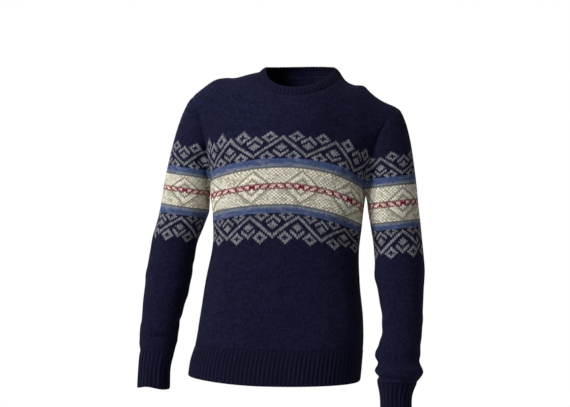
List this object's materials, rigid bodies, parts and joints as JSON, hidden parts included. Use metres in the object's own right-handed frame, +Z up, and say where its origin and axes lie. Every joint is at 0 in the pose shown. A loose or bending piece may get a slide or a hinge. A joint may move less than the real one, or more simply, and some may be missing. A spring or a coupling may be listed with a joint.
{
  "type": "jacquard crew-neck sweater, worn form",
  "caption": "Hollow worn knit sweater with long sleeves, ribbed crew neck, hem and cuffs, and a band of geometric pattern round chest and arms.",
  "frame": {"origin": "middle of the neck at the height of the shoulders, where a wearer holds the sweater up", "axes": "+Z up along the body, the front faces -Y, the wearer's left is +X"},
  "size_m": [0.6202, 0.2212, 0.7541],
  "materials": {
    "navy_knit": "matt navy wool knit with a jacquard band in grey, blue, cream and red",
    "navy_rib": "matt navy wool rib"
  },
  "bodies": {
    "root": {"front_panel": "navy_knit", "back_panel": "navy_knit", "sleeve_left": "navy_knit", "sleeve_right": "navy_knit", "neckband": "navy_rib", "hem_rib_front": "navy_rib", "hem_rib_back": "navy_rib", "cuff_left": "navy_rib", "cuff_right": "navy_rib"}
  },
  "joints": []
}
